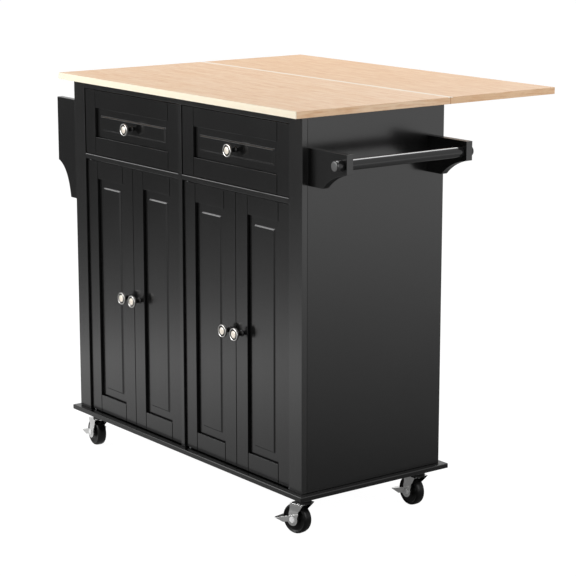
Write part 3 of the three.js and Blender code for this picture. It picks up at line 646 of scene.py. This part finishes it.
# ---------------------------------------------------------------- knobs
def knob_pieces(foot):
    """A knob pointing to -Y: a stem darkened as a painted reflection of the black door, bright rim, a
    recessed ring painted dark for shade, and a warm domed centre.
    """
    def turned(name, profile):
        return turn(name, profile, foot, (0, -1, 0), steps=40)

    stem = [(0, 0), (7.3, 0), (7.5, 0.4), (7.2, 1.1), (6.1, 2.0), (5.5, 3.6), (5.3, 8.0), (5.7, 11.5),
            (7.4, 13.6), (10.4, 15.4), (13.2, 17.0), (13.2, 17.5), (0, 17.5)]
    rim = [(0, 17.1), (13.3, 17.1), (14.3, 18.4), (14.5, 20.0), (14.3, 21.8), (13.7, 22.8), (12.8, 23.1),
           (12.1, 22.8), (11.9, 22.1), (0, 22.1)]
    ring = [(0, 21.6), (11.85, 21.6), (11.85, 22.35), (8.3, 22.35), (8.3, 22.2), (0, 22.2)]
    dome = [(0, 22.3), (8.2, 22.3), (8.15, 22.7), (7.7, 23.1), (6.4, 23.5), (4.2, 23.8), (2, 23.95), (0, 24)]
    return {
        "stem": (turned("knob_stem", stem), nickel_dark_for_shade), "rim": (turned("knob_rim", rim), nickel),
        "inlay": (turned("knob_inlay", ring), nickel_dark_for_shade), "dome": (turned("knob_dome", dome), satin_dome),
    }


def knob_foot(node):
    spot = middle(node)
    spot.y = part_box(node)[1].y
    return spot


KNOBS = (("door_1_knob", "door_one"), ("door_2_knob", "door_two"), ("door_3_knob", "door_three"),
         ("door_4_knob", "door_four"), ("left_drawer_knob", "left_drawer"),
         ("right_drawer_knob", "right_drawer"))

first_foot = knob_foot("door_1_knob")
knob_pattern = knob_pieces(first_foot)
for node, body in KNOBS:
    for place, (part, finish) in knob_pattern.items():
        fit(copy_piece(part, f"{node}_{place}", knob_foot(node) - first_foot), finish, body, node)
discard(part for part, finish in knob_pattern.values())


# ---------------------------------------------------------------- drawer boxes
BOX_WALL = 12 * MM
BOX_FLOOR = 6 * MM
BOX_ARRIS = 1.0 * MM


def drawer_board(name, low, high, body, node):
    fit(ease(close_up(open_block(name, low, high)), BOX_ARRIS, 3), drawer_wood, body, node)


for side in ("left", "right"):
    node, body = f"{side}_drawer_box", f"{side}_drawer"
    low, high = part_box(node)
    wall_x, wall_y = Vector((BOX_WALL, 0, 0)), Vector((0, BOX_WALL, 0))
    drawer_board(f"{node}_left_side", low, (low.x + BOX_WALL, high.y, high.z), body, node)
    drawer_board(f"{node}_right_side", (high.x - BOX_WALL, low.y, low.z), high, body, node)
    drawer_board(f"{node}_front", low + wall_x, (high.x - BOX_WALL, low.y + BOX_WALL, high.z), body, node)
    drawer_board(f"{node}_back", (low.x + BOX_WALL, high.y - BOX_WALL, low.z), high - wall_x, body, node)
    drawer_board(f"{node}_bottom", low + wall_x + wall_y,
                 (high.x - BOX_WALL, high.y - BOX_WALL, low.z + BOX_FLOOR), body, node)


# ---------------------------------------------------------------- towel rail
BRACKET_FOOT = 44.7 * MM
BRACKET_TIP = 41.2 * MM
BORE_RADIUS = 11.8 * MM
BRACKET_ARRIS = 1.3 * MM            # also on the spice rack's ends
COVE_STEPS = 20


def cove(start, control, end):
    """Points of a smooth cove between two corners of an outline."""
    points = []
    for step in range(1, COVE_STEPS + 1):
        along = step / COVE_STEPS
        points.append(start * (1 - along) ** 2 + control * 2 * along * (1 - along) + end * along ** 2)
    return points


def towel_bracket(node, rod_x, rod_z):
    """A bracket with a flat top and a cove below, bored for the rod."""
    low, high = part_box(node)
    foot_x, tip_z = low.x + BRACKET_FOOT, high.z - BRACKET_TIP
    rise = tip_z - low.z
    start, end = Vector((foot_x, low.y, low.z)), Vector((high.x, low.y, tip_z))
    control = Vector((foot_x + rise * 0.78, low.y, tip_z - rise * 0.2))
    spots = [Vector((low.x, low.y, high.z)), Vector((low.x, low.y, low.z)), start]
    spots += cove(start, control, end) + [Vector((high.x, low.y, high.z))]
    bracket = saw_board(f"{node}_board", spots, high.y - low.y, (0, 1, 0))
    drill = close_up(open_primitive(
        bpy.ops.mesh.primitive_cylinder_add, "drill", vertices=48, radius=BORE_RADIUS, depth=40 * MM,
        location=(rod_x, (low.y + high.y) / 2, rod_z), rotation=(math.pi / 2, 0, 0)))
    bpy.context.view_layer.objects.active = bracket
    bore = bracket.modifiers.new("bore", "BOOLEAN")
    bore.operation, bore.object, bore.solver = "DIFFERENCE", drill, "EXACT"
    bpy.ops.object.modifier_apply(modifier=bore.name)
    bpy.data.objects.remove(drill)
    fit(ease(bracket, BRACKET_ARRIS, 3), black_paint, "cabinet", node)


rod_low, rod_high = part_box("towel_rod")
rod_middle = (rod_low + rod_high) / 2
towel_bracket("towel_bracket_front", rod_middle.x, rod_middle.z)
towel_bracket("towel_bracket_rear", rod_middle.x, rod_middle.z)
rod_length = (rod_high.y - rod_low.y) / MM
rod_end = [(0, 0.6), (10, 0.6), (10.2, 0.2), (10.6, 0.3), (11.3, 1.2), (11.5, 2.6), (11.5, 4.6),
           (11.2, 4.8), (11.2, 5.2), (11.5, 5.4)]
rod_profile = rod_end + [(radius, rod_length - rise) for radius, rise in reversed(rod_end)]
rod = turn("towel_rod_tube", rod_profile, (rod_middle.x, rod_low.y, rod_middle.z), (0, 1, 0), steps=64)
fit(rod, gloss_black, "cabinet", "towel_rod")
disc = [(0, -1.5), (9.9, -1.5), (9.9, -0.35), (9.4, -0.1), (6, -0.05), (0, 0)]
for end, spot_y, outwards in (("front", rod_low.y, -1), ("rear", rod_high.y, 1)):
    cap = turn(f"towel_rod_{end}_cap", disc, (rod_middle.x, spot_y, rod_middle.z), (0, outwards, 0))
    fit(cap, lightened_cap_paint, "cabinet", "towel_rod")


# ---------------------------------------------------------------- spice rack
SPICE_FOOT = 25.7 * MM
SPICE_STRAIGHT = 154 * MM


def spice_end(node):
    """An end board, straight above and drawn in to a narrow foot by a long cove."""
    low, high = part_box(node)
    foot_x, straight_z = high.x - SPICE_FOOT, high.z - SPICE_STRAIGHT
    drop = straight_z - low.z
    start, end = Vector((low.x, low.y, straight_z)), Vector((foot_x, low.y, low.z))
    control = Vector((foot_x - drop / 8, low.y, straight_z - drop / 6))
    spots = [Vector((high.x, low.y, low.z)), Vector((high.x, low.y, high.z)), Vector((low.x, low.y, high.z))]
    spots += [start] + cove(start, control, end)
    board = saw_board(f"{node}_board", spots, high.y - low.y, (0, 1, 0))
    fit(ease(board, BRACKET_ARRIS, 3), black_paint, "cabinet", node)


spice_end("spice_rack_front_end")
spice_end("spice_rack_rear_end")


# ---------------------------------------------------------------- casters
# Each piece is made once about a swivel axis through the origin, in millimetres from the floor, with
# the wheel trailing to -X. Its copies are turned and moved to the four corners.
AXLE = (-19, 33.5)                  # x and z of the axle
HUB_RADIUS = 12
LEG_INNER, LEG_OUTER = 12.75, 15.25
LEVER_INNER, LEVER_OUTER = 15.55, 17.55
HOOD_TOP, HOOD_BOTTOM, NECK = 72, 69.5, 53
PLATE_BOTTOM, PLATE_TOP = 90.2, 92.7
TURNS = {"front_left": -7, "front_right": 12, "rear_left": 0, "rear_right": 0}
PLAIN_CASTER = "rear_left"          # the one without a brake lever


def at(x, y, z):
    return Vector((x, y, z)) * MM


def arc(middle_x, middle_z, radius, start, end, steps):
    """Points of an arc in the side view, with its angles in degrees."""
    points = []
    for step in range(steps + 1):
        angle = math.radians(start + (end - start) * step / steps)
        points.append((middle_x + radius * math.cos(angle), middle_z + radius * math.sin(angle)))
    return points


def caster_plate():
    """The screwed top plate with its raceway boss, its kingpin and four screws."""
    plate = open_block("caster_plate_sheet", at(-32, -25, PLATE_BOTTOM), at(32, 25, PLATE_TOP))
    pick_edges(plate, lambda a, b: abs(a.z - b.z) > MM)
    bpy.ops.mesh.bevel(offset=7 * MM, segments=5, affect="EDGES")
    ease(close_up(plate), 0.5 * MM)
    boss = [(0, 84.7), (14.2, 84.7), (16.2, 85.4), (17, 87), (17, 88.6), (17.8, 89.8), (19, PLATE_BOTTOM),
            (0, PLATE_BOTTOM)]
    raceway = turn("caster_raceway", boss, at(0, 0, 0), (0, 0, 1), steps=40)
    pin = [(0, 66.3), (5.2, 66.3), (6.6, 67), (7, 68.2), (6.8, 69.2), (4, 69.2), (4, 85), (0, 85)]
    kingpin = turn("caster_kingpin", pin, at(0, 0, 0), (0, 0, 1), steps=28)
    head = [(0, 88.9), (1.2, 88.3), (2.8, 88.5), (3.9, 89.3), (4.1, PLATE_BOTTOM), (0, PLATE_BOTTOM)]
    screws = [turn("caster_screw", head, at(x, y, 0), (0, 0, 1), steps=16)
              for x in (-25, 25) for y in (-18, 18)]
    return unite("caster_plate_assembly", [plate, raceway, kingpin, *screws])


def axle_head(y, direction):
    """A domed rivet head on the axle's end."""
    dome = [(0, 0), (7, 0), (7, 0.7), (6.4, 1.6), (4.6, 2.2), (2.2, 2.45), (0, 2.5)]
    return turn("axle_head", dome, at(AXLE[0], y, AXLE[1]), (0, direction, 0), steps=28)


def fork_sheet():
    """One bent sheet: a hood over the wheel that narrows into two legs with round hubs."""
    back, front, half_width = AXLE[0] - HUB_RADIUS, 14, 21
    hub_bottom = AXLE[1] - HUB_RADIUS
    side = [(17.5, HOOD_BOTTOM), (16.2, 65.5), (LEG_INNER + 0.9, 58), (LEG_INNER, NECK),
            (LEG_INNER, hub_bottom), (LEG_OUTER, hub_bottom), (LEG_OUTER, NECK), (LEG_OUTER + 0.9, 57.6),
            (18.9, 66), (20, HOOD_TOP)]
    section = [at(back, -y, z) for y, z in side] + [at(back, y, z) for y, z in reversed(side)]
    sheet = saw_board("fork_sheet", section, (front - back) * MM, (1, 0, 0))
    outline = [(front, 73), (-23, 73), (back, AXLE[1] + HUB_RADIUS)]
    outline += arc(*AXLE, HUB_RADIUS, 180, 390, 28) + [(-3.5, NECK), (-1.5, 54.2), (3.5, 60)]
    blank_spots = [at(x, -half_width, z) for x, z in outline]
    blank = saw_board("fork_blank", blank_spots, 2 * half_width * MM, (0, 1, 0))
    bpy.context.view_layer.objects.active = sheet
    trim = sheet.modifiers.new("trimmed", "BOOLEAN")
    trim.operation, trim.object, trim.solver = "INTERSECT", blank, "EXACT"
    bpy.ops.object.modifier_apply(modifier=trim.name)
    bpy.data.objects.remove(blank)
    ease(sheet, 0.5 * MM)
    # Painted shade: a second, dark nickel goes on the faces inside the fork.
    for finish in (bright_nickel, nickel_dark_for_shade):
        sheet.data.materials.append(finish)
    for face in sheet.data.polygons:    # painted shade: the inner faces and the hood's underside are darkened
        inwards = face.normal.y * face.center.y < 0 and abs(face.normal.y) > 0.3
        if inwards or (face.normal.z < -0.5 and face.center.z > NECK * MM):
            face.material_index = 1
    return sheet


def caster_fork(head_inner):
    """The fork with its raceway darkened as painted shade, and the axle through its legs with a head at each
    end.
    """
    race = [(0, 71.5), (17, 71.5), (17, 75.4), (16.4, 76.2), (15.3, 76.8), (15.3, 77.6), (16.6, 78.3),
            (17, 79.4), (17, 81.8), (16.4, 83.2), (14.6, 84.2), (13.2, 84.4), (0, 84.4)]
    raceway = turn("fork_raceway", race, at(0, 0, 0), (0, 0, 1), steps=48)
    raceway.data.materials.append(nickel_dark_for_shade)
    bar = [(0, -head_inner), (4, -head_inner), (4, head_inner), (0, head_inner)]
    axle = turn("fork_axle", bar, at(AXLE[0], 0, AXLE[1]), (0, 1, 0), steps=24)
    heads = [axle_head(-head_inner, -1), axle_head(head_inner, 1)]
    return unite("caster_fork_assembly", [fork_sheet(), raceway, axle, *heads])


def caster_wheel():
    """A solid wheel with a dished web and a rounded tread."""
    half = [(4.4, 11.2), (10.2, 11.2), (11, 10.7), (12, 9.2), (13.5, 8.75), (25.3, 8.75), (26.6, 9.2),
            (27.6, 10.6), (28.8, 11.1), (30.4, 10.6), (32, 9.2), (33, 7), (33.4, 4.5), (33.5, 2)]
    profile = half + [(radius, -across) for radius, across in reversed(half)] + half[:1]
    return turn("caster_tyre", profile, at(AXLE[0], 0, AXLE[1]), (0, 1, 0), steps=72, smooth=40)


def brake_lever():
    """Two cheeks on the axle, and a pedal across them behind the wheel."""
    cheeks = []
    lobe = arc(0, 0, 14, -150, 18, 24)
    for name, y in (("near", -LEVER_OUTER), ("far", LEVER_INNER)):
        outline = lobe + [(17, 15), (-16, 5), (-45.5, -5), (-45.5, -7), (-26, -11)]
        spots = [at(x + AXLE[0], y, z + AXLE[1]) for x, z in outline]
        cheeks.append(ease(saw_board(f"{name}_cheek", spots, 2 * MM, (0, 1, 0)), 0.4 * MM))
    pedal = open_block("brake_pedal", at(-71.5, -LEVER_OUTER, 26.5), at(-57.5, LEVER_OUTER, 28.5))
    pick_edges(pedal, lambda a, b: abs(a.z - b.z) > MM and a.x < -65 * MM)
    bpy.ops.mesh.bevel(offset=5 * MM, segments=6, affect="EDGES")
    ease(close_up(pedal), 0.5 * MM)
    return unite("brake_lever_assembly", [*cheeks, pedal])


def fit_caster(label, patterns):
    """Sets the three or four pieces of one caster under its corner of the base plate."""
    spot = middle(f"{label}_caster_plate")
    spot.z = 0
    turned = math.radians(TURNS[label])
    fork = patterns["plain_fork" if label == PLAIN_CASTER else "lever_fork"]
    rows = [(patterns["plate"], "mount", 0, bright_nickel, "cabinet", "plate"),
            (fork, "fork_legs", turned, bright_nickel, f"{label}_fork", "fork"),
            (patterns["wheel"], "tyre", turned, black_rubber, f"{label}_wheel", "wheel")]
    if label != PLAIN_CASTER:
        rows.append((patterns["lever"], "brake", turned, bright_nickel, f"{label}_lever", "lever"))
    for pattern, name, turning, finish, body, node in rows:
        copied = copy_piece(pattern, f"{label}_caster_{name}", spot, turning)
        fit(copied, finish, body, f"{label}_caster_{node}")


caster_patterns = {
    "plate": caster_plate(), "wheel": caster_wheel(), "lever": brake_lever(),
    "plain_fork": caster_fork(LEG_OUTER), "lever_fork": caster_fork(LEVER_OUTER + 0.3),
}
for label in TURNS:
    fit_caster(label, caster_patterns)
discard(caster_patterns.values())


# ---------------------------------------------------------------- floor and view settings
floor = open_primitive(bpy.ops.mesh.primitive_plane_add, "studio_floor_sheet", size=30, location=(0, 0, 0))
bpy.ops.mesh.subdivide(number_cuts=3)
bpy.ops.object.mode_set(mode="OBJECT")
floor.data.materials.append(mix_floor())

bpy.context.scene.view_settings.view_transform = "Standard"
bpy.context.view_layer.update()
